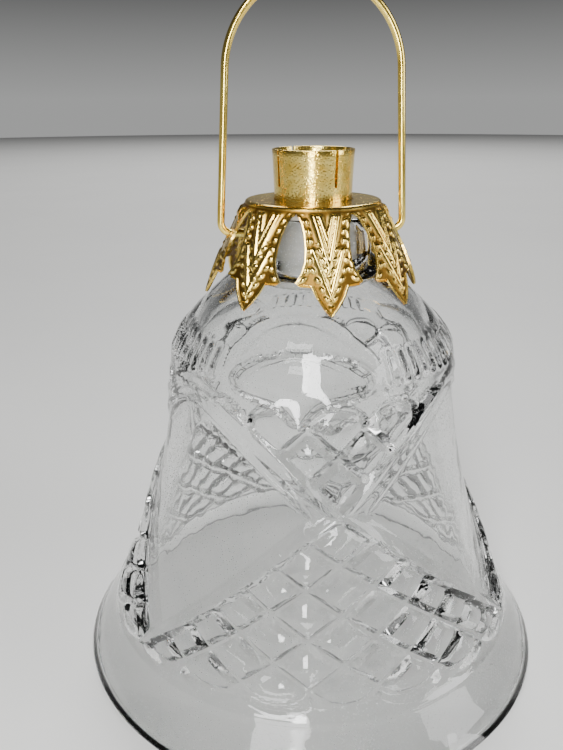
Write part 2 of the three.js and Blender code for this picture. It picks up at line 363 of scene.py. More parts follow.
def milkyPlastic():
    material, tree, shader, place = newMaterial("milky_plastic")
    shader.inputs["Subsurface Weight"].default_value = 0.35
    shader.inputs["Subsurface Radius"].default_value = (0.002, 0.002, 0.0018)
    marks = placeGroup(tree, handlingMarks, place, **{"Smudge Scale": 300.0})
    tone = addNode(tree, "ShaderNodeMix", data_type="RGBA")
    tone.inputs[6].default_value = (0.86, 0.86, 0.83, 1)
    tone.inputs[7].default_value = (0.7, 0.69, 0.64, 1)
    join(tree, marks, tone, "Smudge", 0)
    join(tree, tone, shader, 2, "Base Color")
    rough = addNode(tree, "ShaderNodeMath", operation="MULTIPLY_ADD")
    rough.inputs[1].default_value = 0.25
    rough.inputs[2].default_value = 0.38
    join(tree, marks, rough, "Smudge", 0)
    join(tree, rough, shader, 0, "Roughness")
    return material


def softRubber():
    material, tree, shader, place = newMaterial("pale_rubber")
    marks = placeGroup(tree, handlingMarks, place, **{"Smudge Scale": 350.0})
    tone = addNode(tree, "ShaderNodeMix", data_type="RGBA")
    tone.inputs[6].default_value = (0.62, 0.58, 0.48, 1)
    tone.inputs[7].default_value = (0.45, 0.42, 0.34, 1)
    join(tree, marks, tone, "Smudge", 0)
    join(tree, tone, shader, 2, "Base Color")
    grain = addNode(tree, "ShaderNodeTexNoise", Scale=2400.0, Detail=3.0)
    join(tree, place, grain, "Object", "Vector")
    rough = addNode(tree, "ShaderNodeMapRange", **{"To Min": 0.6, "To Max": 0.9})
    join(tree, grain, rough, "Fac", "Value")
    join(tree, rough, shader, "Result", "Roughness")
    bump = addNode(tree, "ShaderNodeBump", Strength=0.3, Distance=0.00005)
    join(tree, grain, bump, "Fac", "Height")
    join(tree, bump, shader, "Normal", "Normal")
    return material


# the glass bell: its plain form, the same as the CAD solid's

bell = {
    "rimRadius": 35.0, "lipFlare": 0.7, "lipFlareHeight": 6.0, "lipRound": 0.45,
    "lipWall": 1.7, "bodyWall": 3.0, "wallBlend": 9.0,
    "shoulderRadius": 19.95, "shoulderHeight": 47.25, "flareShare": 0.3, "flarePower": 2.19,
    "neckRadius": 8.0, "neckFoot": 60.15, "neckTop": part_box("glass_bell")[1][2] / mm, "neckBore": 6.25,
    "ledgeHeight": 57.0, "ledgeRadius": 7.95, "edge": 0.4, "innerTopDrop": 1.2,
    "panels": 3, "columns": 49, "rowsPerStep": 7,  # columns in half a panel
    "domeSamples": 200, "lipSteps": 6, "innerDomeSteps": 12, "innerSteps": 26, "shoulderSteps": 4,
    "slopeReach": 0.4,  # half the height over which the wall's slope is taken
    "pokeLow": 8.0, "pokeHigh": 53.5, "cutLow": 6.2, "cutHigh": 54, "skin": 0.6,
}
dome = [
    (bell["shoulderRadius"], bell["shoulderHeight"]),
    (bell["shoulderRadius"] - 0.95, bell["shoulderHeight"] + 3.75),
    (bell["neckRadius"] + 4, bell["neckFoot"] - 3.7),
    (bell["neckRadius"], bell["neckFoot"]),
]
domeLine = [bezier(dome, i / bell["domeSamples"]) for i in range(bell["domeSamples"] + 1)]


def flareRadius(z):
    round0 = bell["lipRound"]
    left = 1 - max(z - round0, 0) / (bell["shoulderHeight"] - round0)
    shape = bell["flareShare"] * left + (1 - bell["flareShare"]) * left ** bell["flarePower"]
    turnOut = bell["lipFlare"] * max(1 - (z - round0) / bell["lipFlareHeight"], 0) ** 2
    spread = bell["rimRadius"] - bell["lipFlare"] - bell["shoulderRadius"]
    return bell["shoulderRadius"] + spread * shape + turnOut


def outerRadius(z):
    if z <= bell["shoulderHeight"]:
        return flareRadius(z)
    for low, high in zip(domeLine, domeLine[1:]):
        if z <= high[1]:
            return low[0] + (high[0] - low[0]) * (z - low[1]) / (high[1] - low[1])
    return bell["neckRadius"]


def outerNormal(z):
    reach = bell["slopeReach"]
    slope = (outerRadius(z + reach) - outerRadius(z - reach)) / (2 * reach)
    size = math.hypot(1, slope)
    return 1 / size, -slope / size


def wallAt(z):
    return bell["lipWall"] + (bell["bodyWall"] - bell["lipWall"]) * smoothStep(0, bell["wallBlend"], z)


# the pressed pattern: arms that cross at three places, a lattice of diamonds above and below each
# crossing, plain windows between them, an oval and a row of flutes on the shoulder

cut = {
    "crossing": 31.3, "armDrop": 22.6, "armDropPower": 1.22, "armRise": 14.6, "armRisePower": 1.7,
    "armHalf": 1.15, "armHeight": 0.55, "armHeightTop": 0.22, "armFoot": 0.55, "armLowers": (33, 40),
    "lowUnit": 4.56, "lowTop": 31.25, "lowStep": 3.1, "lowEase": 0.0025, "lowRows": 7, "lowScallop": 1.65,
    "highUnit": 3.75, "highFoot": 31.9, "highStep": 3.4, "highRows": 3, "highScallop": 2.85,
    "groove": 0.03, "flank": 0.31, "depth": 0.95, "crown": 0.42, "borderShare": 0.4, "fade": 0.85,
    "bevel": 2.3, "windowFoot": 1.0, "windowRound": 1.5, "windowStep": 0.45, "windowFlank": 0.7,
    "ovalTurn": -13.4, "ovalHalfTurn": 25.4, "ovalHeight": 48.1, "ovalHalf": 3.1, "ovalPoint": 2.3,
    "ovalPointTurn": 6.5, "ovalDepth": 0.85, "ovalRim": 0.22, "ovalRimReach": 1.05, "ovalRimHalf": 0.055,
    "ovalCover": (0.98, 1.12), "shoulderStart": 43, "latticeFades": (46.4, 48.2),
    "fluteTurn": 5.1, "fluteCount": 11, "fluteLow": 46.9, "fluteHigh": 51.3, "fluteDepth": 0.36,
    "fluteStarts": 0.8, "fluteEnds": 1, "ringHeight": 7.3, "ringHalf": 0.35, "ringRise": 0.22,
    # where the mesh follows the lattices, and where it goes back to even columns
    "unitBelow": 0.8, "unitAbove": 1.2, "followLow": 10.3, "evenBelow": (7, 8.5), "evenAbove": (43, 46),
    "fanMargin": 3, "fanLimit": 0.85,
}
halfPanel = 180 / bell["panels"]


def lowHeight(row):
    return cut["lowTop"] - cut["lowStep"] * row + cut["lowEase"] * row ** 3


def lowRow(z):
    row = (cut["lowTop"] - z) / cut["lowStep"]
    for _ in range(4):
        row = (cut["lowTop"] - z + cut["lowEase"] * row ** 3) / cut["lowStep"]
    return row


# turn of one lattice step at a height, in degrees
def stepTurn(z):
    low = math.degrees(cut["lowUnit"] / outerRadius(z))
    high = math.degrees(cut["highUnit"] / outerRadius(z))
    change = smoothStep(cut["crossing"] - cut["unitBelow"], cut["crossing"] + cut["unitAbove"], z)
    return low + (high - low) * change


# height of the arms' middle line, and how steep it is in millimetres along the wall
def armLow(turn):
    share = min(turn / halfPanel, 1)
    z = cut["crossing"] - cut["armDrop"] * share ** cut["armDropPower"]
    steep = cut["armDrop"] * cut["armDropPower"] / halfPanel
    slope = steep * max(share, 0.02) ** (cut["armDropPower"] - 1)  # never quite level at the crossing
    return z, slope / math.radians(outerRadius(z))


def armHigh(turn):
    left = 1 - min(turn / halfPanel, 1)
    z = cut["crossing"] + cut["armRise"] * (1 - left ** cut["armRisePower"])
    slope = cut["armRise"] * cut["armRisePower"] / halfPanel * left ** (cut["armRisePower"] - 1)
    return z, slope / math.radians(outerRadius(z))


# where the fan between the arms ends at a height
def fanTurn(z):
    if z < cut["crossing"]:
        return halfPanel * min((cut["crossing"] - z) / cut["armDrop"], 1) ** (1 / cut["armDropPower"])
    left = max(1 - (z - cut["crossing"]) / cut["armRise"], 0)
    return halfPanel * (1 - left ** (1 / cut["armRisePower"]))


# the mesh's even columns are moved so that both lattices run along its edges
def latticeTurn(off, z):
    reach = stepTurn(max(z, cut["followLow"])) * bell["columns"] / bell["rowsPerStep"]
    even = max(smoothStep(*cut["evenAbove"], z), 1 - smoothStep(*cut["evenBelow"], z))
    reach += (halfPanel - reach) * even
    share = abs(off) / halfPanel
    start = min((fanTurn(z) + cut["fanMargin"]) / reach, cut["fanLimit"])
    ease = (max(share - start, 0) / (1 - start)) ** 2
    return math.copysign(reach * share - (reach - halfPanel) * ease, off)


def diamondEdges(m, n):
    return [abs(line - 2 * round(line / 2)) - cut["groove"] for line in (m + n, m - n)]


def pillow(edges, bounds):
    rise = smoothStep(0, cut["flank"], min(edges))
    rise *= 1 - cut["borderShare"] * (1 - smoothStep(0, cut["flank"], min(bounds)))
    crown = 1.0
    for edge in edges + bounds:
        crown *= 1 - (1 - min(max(edge, 0), 1)) ** 2
    return cut["depth"] * (rise - 1) + cut["crown"] * crown * rise


def scallop(m):
    cell = 2 * round(m / 2)
    return math.sqrt(max(1 - (m - cell) ** 2, 0))


def ovalRelief(turn, z):
    away = (turn - cut["ovalTurn"] + halfPanel) % (2 * halfPanel) - halfPanel
    half = cut["ovalHalf"]
    if z < cut["ovalHeight"]:
        half += cut["ovalPoint"] * math.exp(-(away / cut["ovalPointTurn"]) ** 2)
    reach = math.hypot(away / cut["ovalHalfTurn"], (z - cut["ovalHeight"]) / half)
    lens = -cut["ovalDepth"] * max(1 - reach * reach, 0)
    rim = cut["ovalRim"] * math.exp(-((reach - cut["ovalRimReach"]) / cut["ovalRimHalf"]) ** 2)
    return lens + rim, reach


def fluteRelief(turn, z):
    away = (turn - cut["ovalTurn"]) % (2 * halfPanel) - halfPanel
    half = cut["fluteTurn"] * cut["fluteCount"] / 2
    if abs(away) > half:
        return 0.0
    across = ((away + half) / cut["fluteTurn"]) % 1 - 0.5
    foot = smoothStep(cut["fluteLow"], cut["fluteLow"] + cut["fluteStarts"], z)
    top = 1 - smoothStep(cut["fluteHigh"] - cut["fluteEnds"], cut["fluteHigh"], z)
    return -cut["fluteDepth"] * (1 - 4 * across * across) * foot * top


# how far the surface stands off the plain form, by turn from the front and height
def relief(turn, z):
    off = (turn + halfPanel) % (2 * halfPanel) - halfPanel
    side = abs(off)
    lowMiddle, lowSlope = armLow(side)
    highMiddle, highSlope = armHigh(side)
    under = (lowMiddle - z) / math.hypot(1, lowSlope)
    over = (z - highMiddle) / math.hypot(1, highSlope)
    m = off / stepTurn(z)
    ring = cut["ringRise"] * math.exp(-((z - cut["ringHeight"]) / cut["ringHalf"]) ** 2)
    foot = cut["armHalf"] * cut["armFoot"]
    if under > 0:
        bottom = lowHeight(cut["lowRows"]) - cut["lowScallop"] * scallop(m)
        if z < bottom:
            return ring - cut["depth"] * (1 - smoothStep(0, cut["fade"], bottom - z))
        edges = diamondEdges(m, lowRow(z)) + [(z - bottom) / cut["lowStep"]]
        field = pillow(edges, [(under - foot) / cut["lowStep"]])
        away = under
    elif over > 0:
        row = (z - cut["highFoot"]) / cut["highStep"]
        top = cut["highFoot"] + cut["highStep"] * cut["highRows"] + cut["highScallop"] * scallop(m)
        edges = diamondEdges(m, row)
        if row > cut["highRows"]:
            edges = [1 - abs(m - 2 * round(m / 2))] * 2
        bounds = [(over - foot) / cut["highStep"], (top - z) / cut["highStep"]]
        field = pillow(edges, bounds) * (1 - smoothStep(0, cut["fade"], z - top))
        away = over
    else:
        p = -over - cut["bevel"]
        q = -under - cut["windowFoot"]
        corner = cut["windowRound"]
        inside = min(p, q)
        if p < corner and q < corner:
            inside = corner - math.hypot(corner - p, corner - q)
        field = -cut["windowStep"] * smoothStep(0, cut["windowFlank"], inside)
        away = min(-over, -under)
    arm = 1 - smoothStep(0, cut["armHalf"], away)
    crest = cut["armHeight"] + (cut["armHeightTop"] - cut["armHeight"]) * smoothStep(*cut["armLowers"], z)
    body = field * (1 - arm) + arm * crest
    if z > cut["shoulderStart"]:
        body *= 1 - smoothStep(*cut["latticeFades"], z)
        lens, reach = ovalRelief(turn, z)
        cover = 1 - smoothStep(*cut["ovalCover"], reach)
        body = body * (1 - cover) + lens + fluteRelief(turn, z) * (1 - cover)
    return body + ring


# up the outside, over the neck and down the inside, with rows that fall on the lattices
def bellOutline():
    foot = bell["rimRadius"] - bell["lipRound"]
    lip = []
    for i in range(bell["lipSteps"] + 1):
        a = math.pi / 2 * i / bell["lipSteps"]
        lip.append((foot + bell["lipRound"] * math.sin(a), bell["lipRound"] * (1 - math.cos(a))))
    band = [0.8, 1.3, 2.0, 2.8, 3.7, 4.7, 5.7, 6.4, 6.8] + [7.0 + 0.2 * i for i in range(5)]
    lowest = lowHeight(cut["lowRows"])
    band += [8.1 + (lowest - 8.1) * i / 7 for i in range(7)]
    per = bell["rowsPerStep"]
    rows = [lowHeight(i / per) for i in range(cut["lowRows"] * per, -1, -1)] + [31.58]
    rows += [cut["highFoot"] + cut["highStep"] * i / per for i in range(4 * per + 1)]
    high = rows[-1]
    steps = bell["shoulderSteps"]
    shoulder = [high + (bell["shoulderHeight"] - high) * i / steps for i in range(1, steps + 1)]
    outer = [(flareRadius(z), z) for z in band + rows + shoulder]
    domeSteps = [0.0325 * i for i in range(1, 15)] + [0.5 + 0.0625 * i for i in range(1, 9)]
    outer += [bezier(dome, t) for t in domeSteps]
    r, bore, top, edge = bell["neckRadius"], bell["neckBore"], bell["neckTop"], bell["edge"]
    neck = [(r, bell["neckFoot"] + i) for i in (0.8, 2.0, 3.2)]
    neck += [(r, top - edge), (r - edge * 0.3, top - edge * 0.3), (r - edge, top)]
    neck += [(bore + edge, top), (bore + edge * 0.3, top - edge * 0.3), (bore, top - edge)]
    neck += [(bore, 61), (bore, bell["ledgeHeight"])]
    innerTop = bell["shoulderHeight"] - bell["innerTopDrop"]
    innerRadius = flareRadius(innerTop) - bell["bodyWall"]
    inside = [
        (bell["ledgeRadius"], bell["ledgeHeight"]),
        (bell["ledgeRadius"] + 3, bell["ledgeHeight"] - 2.4),
        (innerRadius - 0.7, innerTop + 4.15),
        (innerRadius, innerTop),
    ]
    inner = [bezier(inside, i / bell["innerDomeSteps"]) for i in range(bell["innerDomeSteps"] + 1)]
    steps = bell["innerSteps"]
    heights = [innerTop + (bell["lipRound"] - innerTop) * i / steps for i in range(1, steps + 1)]
    inner += [(flareRadius(z) - wallAt(z), z) for z in heights]
    footInner = foot - bell["lipWall"] + 2 * bell["lipRound"]
    return [(footInner, 0)] + lip + outer + neck + inner + [(footInner - 0.3, 0.12)]


# whether a place belongs to the outer wall, and not to the inner one
def onOuterWall(x, y, z):
    return math.hypot(x, y) > (outerRadius(z / mm) - bell["skin"]) * mm


def glassBell():
    piece = spinOutline("glass_bell_cut", bellOutline(), 2 * bell["panels"] * bell["columns"])
    # the patterned band is poked, so that edges run along both diagonals of the lattice
    makeActive(piece)
    bpy.ops.object.mode_set(mode="EDIT")
    bpy.ops.mesh.select_all(action="DESELECT")
    bpy.ops.object.mode_set(mode="OBJECT")
    for face in piece.data.polygons:
        middle = face.center
        out = middle.x * face.normal.x + middle.y * face.normal.y
        inBand = bell["pokeLow"] * mm < middle.z < bell["pokeHigh"] * mm
        face.select = inBand and out > 0 and onOuterWall(*middle)
    bpy.ops.object.mode_set(mode="EDIT")
    bpy.ops.mesh.select_mode(type="FACE")
    bpy.ops.mesh.poke()
    bpy.ops.object.mode_set(mode="OBJECT")
    for vertex in piece.data.vertices:
        x, y, z = vertex.co
        height = z / mm
        if not (bell["cutLow"] < height < bell["cutHigh"] and onOuterWall(x, y, z)):
            continue
        turn = math.degrees(math.atan2(x, -y))
        off = (turn + halfPanel) % (2 * halfPanel) - halfPanel
        turn += latticeTurn(off, height) - off
        rise = relief(turn, height)
        outward, upward = outerNormal(height)
        r = (outerRadius(height) + rise * outward) * mm
        around = math.radians(turn)
        vertex.co = (r * math.sin(around), -r * math.cos(around), z + rise * upward * mm)
    finishPiece(piece, "bell", "glass_bell", clearGlass(), 40)


# the stamped cap: six plain sectors and two with a pin hole, each of plate and leaf, welded into a ring

cap = {
    "sheet": 0.32, "hole": 5.32, "plateRadius": 9.2, "plateRound": 0.5,
    "leafDrop": 12.2, "leafSwell": (0.5, 0.28), "tipGap": 0.5, "cadSheet": 0.4, "leaves": 8,
    "across": 49, "plateRows": 8, "cornerRows": 4, "leafRows": 98,
    "rim": 0.2, "rimWidth": 0.42, "rib": 0.32, "ribWidth": 0.38, "bead": 0.3, "beadPitch": 1.08,
    "beadAcross": 0.4, "beadAlong": 0.46, "beadInset": 0.66,
    "beadEnd": 8.4, "stampStarts": (0.045, 0.09), "cornerShare": 0.68, "rimFlat": 0.5, "ribFade": (0.1, 0.4),
    "edgeFade": (0.1, 0.4), "slopeStep": 0.01, "weld": 0.004,
    "pinHole": 0.82, "pinBoss": 2.9, "bossFlat": 0.75, "holeReach": 1.5, "pinLeaves": (2, 6),
    "plateShade": 0.45, "bossShade": 0.3,
}
# chevron ribs: slope, drop of the point, drop where the arms start
ribs = [(0.31, 3.7, 0.0), (0.27, 6.6, 0.0), (0.36, 9.9, 4.4)]
# rows of beads: slope, drop of the point, first and last drop
beadRows = [(0.3, 8.2, 4.0, 7.9), (0.45, 11.4, 6.6, 11.3)]
leafHalfWidths = [  # share of the drop, half the leaf's width there
    (0.05, 3.62), (0.09, 3.25), (0.16, 2.95), (0.25, 2.78), (0.38, 2.75), (0.5, 2.9), (0.6, 3.35),
    (0.705, 4.25), (0.715, 2.4), (0.82, 1.85), (0.92, 1.05), (1.0, 0.15),
]


def leafHalfWidth(share):
    for (s0, w0), (s1, w1) in zip(leafHalfWidths, leafHalfWidths[1:]):
        if share <= s1:
            return w0 + (w1 - w0) * max(share - s0, 0) / (s1 - s0)
    return leafHalfWidths[-1][1]


def leafLine():
    edge = Vector((cap["plateRadius"], capTop - cap["plateRound"]))
    tipHeight = capTop - cap["leafDrop"]
    tip = Vector((outerRadius(tipHeight) + cap["tipGap"] + cap["cadSheet"], tipHeight))
    bend = (edge + tip) / 2 + Vector(cap["leafSwell"])
    return edge, bend, tip


def leafPoint(t):
    edge, bend, tip = leafLine()
    return edge * (1 - t) ** 2 + bend * 2 * t * (1 - t) + tip * t * t


def bead(aside, down):
    along = (down / cap["beadPitch"]) % 1 - 0.5
    reach = math.hypot(aside / cap["beadAcross"], along * cap["beadPitch"] / cap["beadAlong"])
    return cap["bead"] * max(1 - reach * reach, 0)


# stamped relief: a raised rim, chevron ribs and rows of beads, by place across and down the leaf
def leafRelief(across, share, half):
    down = share * cap["leafDrop"]
    side = abs(across)
    edge = half - side
    rim = cap["rim"] * (1 - smoothStep(cap["rimWidth"] * cap["rimFlat"], cap["rimWidth"], edge))
    before, after = cap["ribFade"]
    stamped = 0.0
    for slope, point, start in ribs:
        aside = (side - slope * (point - down)) / math.hypot(1, slope)
        ridge = cap["rib"] * math.exp(-(aside / cap["ribWidth"]) ** 2)
        stamped = max(stamped, ridge * smoothStep(start - before, start + after, down))
    for slope, point, start, end in beadRows:
        if start < down < end:
            stamped = max(stamped, bead(side - slope * (point - down), down))
    if down < cap["beadEnd"]:
        stamped = max(stamped, bead(edge - cap["beadInset"], down))
    inside = smoothStep(*cap["edgeFade"], edge)
    return (rim + stamped * inside) * smoothStep(*cap["stampStarts"], share)


def capSector(pinned):
    clearSelection()
    rows = []  # radius, height, normal out, normal up, half angle, share of the drop or None on the plate
    pitch = math.pi / cap["leaves"]
    flatEdge = cap["plateRadius"] - cap["plateRound"]
    for i in range(cap["plateRows"]):
        radius = cap["hole"] + (flatEdge - cap["hole"]) * i / cap["plateRows"]
        rows.append((radius, capTop, 0, 1, pitch, None))
    for i in range(cap["cornerRows"]):
        a = math.pi / 2 * i / cap["cornerRows"] * cap["cornerShare"]
        radius = flatEdge + cap["plateRound"] * math.sin(a)
        height = capTop - cap["plateRound"] * (1 - math.cos(a))
        rows.append((radius, height, math.sin(a), math.cos(a), pitch, None))
    for i in range(cap["leafRows"] + 1):
        t = i / cap["leafRows"]
        place = leafPoint(t)
        near = cap["slopeStep"]
        along = (leafPoint(min(t + near, 1)) - leafPoint(max(t - near, 0))).normalized()
        share = (capTop - place.y) / cap["leafDrop"]
        half = leafHalfWidth(share)
        angle = min(math.asin(min(half / place.x, 1)), pitch)
        if i == 0:
            angle = pitch
        rows.append((place.x, place.y, -along.y, along.x, angle, share))
    bpy.ops.mesh.primitive_grid_add(x_subdivisions=cap["across"] - 1, y_subdivisions=len(rows) - 1, size=2)
    piece = bpy.context.object
    piece.name = "leaf_cap_stamped"
    mesh = piece.data
    # the relief attribute carries painted shade for the material: a fixed value on the plate, a lower one on
    # the pin boss, and the relief height on the leaves, where low sheet is painted darkest
    stamped = mesh.attributes.new("relief", "FLOAT", "POINT")
    for vertex in mesh.vertices:
        row = rows[round((1 - vertex.co.y) / 2 * (len(rows) - 1))]
        radius, height, outward, upward, angle, share = row
        turn = vertex.co.x * angle
        rise = 0.0
        shade = cap["plateShade"]
        if share is not None:
            across = radius * math.sin(turn)
            rise = leafRelief(across, share, radius * math.sin(angle))
            shade = rise / (cap["rib"] + cap["rim"])
            if pinned:  # a flat boss round the pin hole
                away = math.hypot(across, height - pivotHeight)
                stand = smoothStep(cap["pinBoss"] * cap["bossFlat"], cap["pinBoss"], away)
                rise *= stand
                shade = cap["bossShade"] + (shade - cap["bossShade"]) * stand
        stamped.data[vertex.index].value = shade
        r = radius + rise * outward
        vertex.co = (r * math.sin(turn) * mm, -r * math.cos(turn) * mm, (height + rise * upward) * mm)
    return piece


# the two round holes the bail hinges in: the sheet inside is taken out and the edge drawn to a circle
def pierce(piece):
    makeActive(piece)
    bpy.ops.object.mode_set(mode="EDIT")
    bpy.ops.mesh.select_mode(type="VERT")
    bpy.ops.mesh.select_all(action="DESELECT")
    bpy.ops.object.mode_set(mode="OBJECT")
    hole = cap["pinHole"] * mm
    for vertex in piece.data.vertices:
        x, y, z = vertex.co
        vertex.select = abs(x) > cap["hole"] * mm and math.hypot(y, z - pivotHeight * mm) < hole
    bpy.ops.object.mode_set(mode="EDIT")
    bpy.ops.mesh.delete(type="VERT")
    bpy.ops.mesh.select_all(action="SELECT")
    bpy.ops.mesh.region_to_loop()
    bpy.ops.object.mode_set(mode="OBJECT")
    for vertex in piece.data.vertices:
        x, y, z = vertex.co
        up = z - pivotHeight * mm
        away = math.hypot(y, up)
        if vertex.select and abs(x) > cap["hole"] * mm and away < hole * cap["holeReach"]:
            vertex.co = (x, y * hole / away, pivotHeight * mm + up * hole / away)


def leafCap():
    piece = capSector(False)
    pinSector = capSector(True)
    sectors = [piece]
    for i in range(1, cap["leaves"]):
        makeActive(pinSector if i in cap["pinLeaves"] else piece)
        bpy.ops.object.duplicate()
        copy = bpy.context.object
        copy.rotation_euler.z = 2 * math.pi * i / cap["leaves"]
        bpy.ops.object.transform_apply(location=False, rotation=True, scale=False)
        sectors.append(copy)
    makeActive(pinSector)
    bpy.ops.object.delete()
    clearSelection()
    for sector in sectors:
        sector.select_set(True)
    bpy.context.view_layer.objects.active = piece
    bpy.ops.object.join()
    bpy.ops.object.mode_set(mode="EDIT")
    bpy.ops.mesh.select_all(action="SELECT")
    bpy.ops.mesh.remove_doubles(threshold=cap["weld"] * mm)
    bpy.ops.mesh.normals_make_consistent(inside=False)
    bpy.ops.object.mode_set(mode="OBJECT")
    top = max(piece.data.polygons, key=lambda face: face.center.z)
    if top.normal.z < 0:
        bpy.ops.object.mode_set(mode="EDIT")
        bpy.ops.mesh.select_all(action="SELECT")
        bpy.ops.mesh.flip_normals()
        bpy.ops.object.mode_set(mode="OBJECT")
    pierce(piece)
    wall = piece.modifiers.new("sheet", "SOLIDIFY")
    wall.thickness = cap["sheet"] * mm
    wall.offset = -1
    makeActive(piece)
    bpy.ops.object.modifier_apply(modifier=wall.name)
    finishPiece(piece, "bell", "leaf_cap", stampedBrass(), 50)


# the sleeve that grips the lamp: a thin tube that widens upwards, slit from the top

sleeve = {
    "bore": 4.85, "wall": 0.35, "spread": 0.25, "stem": 9.0,
    "flange": 2.2, "flangeLow": capTop - 0.85, "flangeHigh": capTop - 0.45,
    "slits": 4, "slitWidth": 0.42, "slitDepth": 4.6, "slitTurn": 24.0, "slitReach": 2.4,
    "lip": 0.09, "lipOut": 0.4, "lipDown": 0.3, "spreadPower": 1.4, "rows": 8, "around": 144,
}


def socketSleeve():
    outer = sleeve["bore"] + sleeve["wall"]
    lip = sleeve["lip"]
    low = capTop - sleeve["stem"]
    top = sleeveTop
    wide = sleeve["spread"]
    rows = sleeve["rows"]
    rise = [capTop + (top - capTop) * i / rows for i in range(1, rows)]
    grow = [wide * ((z - capTop) / (top - capTop)) ** sleeve["spreadPower"] for z in rise]
    outline = [(sleeve["bore"], low), (outer, low), (outer, sleeve["flangeLow"])]
    flange = outer + sleeve["flange"]
    outline += [(flange, sleeve["flangeLow"]), (flange, sleeve["flangeHigh"])]
    outline += [(outer, sleeve["flangeHigh"]), (outer, capTop)]
    outline += [(outer + w, z) for w, z in zip(grow, rise)]
    mouth, inner = outer + wide, sleeve["bore"] + wide
    lipOut, lipTop = lip * sleeve["lipOut"], top - lip * sleeve["lipDown"]
    outline += [(mouth, top - lip), (mouth - lipOut, lipTop), (mouth - lip, top)]
    outline += [(inner + lip, top), (inner + lipOut, lipTop), (inner, top - lip)]
    outline += [(sleeve["bore"] + w, z) for w, z in reversed(list(zip(grow, rise)))]
    outline += [(sleeve["bore"], capTop)]
    piece = spinOutline("socket_sleeve_slit", outline, sleeve["around"])
    for i in range(sleeve["slits"]):
        turn = math.radians(sleeve["slitTurn"]) + 2 * math.pi * i / sleeve["slits"]
        middle = outer + wide / 2
        clearSelection()
        bpy.ops.mesh.primitive_cube_add(size=1)
        slit = bpy.context.object
        slit.scale = (sleeve["slitWidth"] * mm, sleeve["slitReach"] * mm, (sleeve["slitDepth"] + 1) * mm)
        height = top - sleeve["slitDepth"] + (sleeve["slitDepth"] + 1) / 2
        slit.location = (middle * math.sin(turn) * mm, -middle * math.cos(turn) * mm, height * mm)
        slit.rotation_euler = (0, 0, turn)
        bpy.ops.object.transform_apply(location=True, rotation=True, scale=True)
        cutWith(piece, slit)
    finishPiece(piece, "bell", "socket_sleeve", sleeveGold(), 35)


# the bail: one wire, drawn and spun round its three bends from end to end

bail = {
    "wire": 0.5, "archRadius": 11.3, "legFoot": 12.4, "bend": 1.5, "reach": 9.4,
    "rise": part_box("bail_wire")[1][2] / mm - 0.5 - pivotHeight,
    "sides": 20, "archSteps": 72, "bendSteps": 16,
}


def bailWire():
    r = bail["archRadius"]
    archMiddle = pivotHeight + bail["rise"] - r
    bendOut = bail["legFoot"] - bail["bend"]
    bendUp = pivotHeight + bail["bend"]
    across, up = bendOut, archMiddle - bendUp
    lean = math.atan2(across, up) - math.asin((r - bail["bend"]) / math.hypot(across, up))
    leg = math.sqrt(across ** 2 + up ** 2 - (r - bail["bend"]) ** 2)
    clearSelection()
    bpy.ops.mesh.primitive_circle_add(vertices=bail["sides"], radius=bail["wire"] * mm, fill_type="NGON",
                                      location=(-bail["reach"] * mm, 0, pivotHeight * mm),
                                      rotation=(0, math.pi / 2, 0))
    piece = bpy.context.object
    piece.name = "bail_wire_bent"
    bpy.ops.object.transform_apply(location=True, rotation=True, scale=True)
    bpy.ops.object.mode_set(mode="EDIT")
    bpy.ops.mesh.select_mode(type="FACE")
    bpy.ops.mesh.select_all(action="SELECT")

    def draw(x, z):
        bpy.ops.mesh.extrude_region_move(TRANSFORM_OT_translate={"value": (x * mm, 0, z * mm)})

    def turn(x, z, angle, steps):
        bpy.ops.mesh.spin(steps=steps, angle=angle, center=(x * mm, 0, z * mm), axis=(0, -1, 0))

    draw(bail["reach"] - bendOut, 0)
    turn(-bendOut, bendUp, math.pi / 2 + lean, bail["bendSteps"])
    draw(leg * math.sin(lean), leg * math.cos(lean))
    turn(0, archMiddle, math.pi - 2 * lean, bail["archSteps"])
    draw(leg * math.sin(lean), -leg * math.cos(lean))
    turn(bendOut, bendUp, math.pi / 2 + lean, bail["bendSteps"])
    draw(bail["reach"] - bendOut, 0)
    bpy.ops.mesh.select_all(action="SELECT")
    bpy.ops.mesh.remove_doubles(threshold=0.002 * mm)
    bpy.ops.mesh.normals_make_consistent(inside=False)
    bpy.ops.object.mode_set(mode="OBJECT")
    finishPiece(piece, "bail", "bail_wire", wireGold(), 50)


# the hidden stack in the neck

liner = {
    "bore": 5.3, "radius": 6.15, "flange": 1.3, "flangeThickness": 1.2, "ribs": 9, "ribRows": 4, "rib": 0.08,
    "edge": 0.3, "topInset": 0.1, "around": 96,
}
gasket = {"inner": 6.25, "outer": 8.0, "round": 0.2, "soften": 0.06, "around": 96}


def neckLiner():
    step = linerLow + liner["flangeThickness"]
    wide = liner["radius"] + liner["flange"]
    edge = liner["edge"]
    outline = [(liner["bore"], linerLow), (wide - edge, linerLow), (wide, linerLow + edge), (wide, step)]
    outline += [(liner["radius"], step)]
    length = linerHigh - step
    rows = liner["ribs"] * liner["ribRows"]
    for i in range(rows):
        z = step + length * (i + 1) / (rows + 1)
        outline.append((liner["radius"] - liner["rib"] * (0.5 - 0.5 * math.cos(math.pi / 2 * (i + 1))), z))
    outline += [(liner["radius"] - liner["topInset"], linerHigh), (liner["bore"], linerHigh)]
    piece = spinOutline("neck_liner_ribbed", outline, liner["around"])
    finishPiece(piece, "bell", "neck_liner", milkyPlastic(), 40)


def capGasket():
    r = gasket["round"]
    low, high, inner, outer = gasketLow, gasketHigh, gasket["inner"], gasket["outer"]
    s = gasket["soften"]
    outline = [(inner + r, low), (outer - r, low), (outer - s, low + s), (outer, low + r)]
    outline += [(outer, high - r), (outer - s, high - s), (outer - r, high)]
    outline += [(inner + r, high), (inner, high - r), (inner, low + r)]
    piece = spinOutline("cap_gasket_ring", outline, gasket["around"])
    finishPiece(piece, "bell", "cap_gasket", softRubber(), 40)


# floor, light and camera

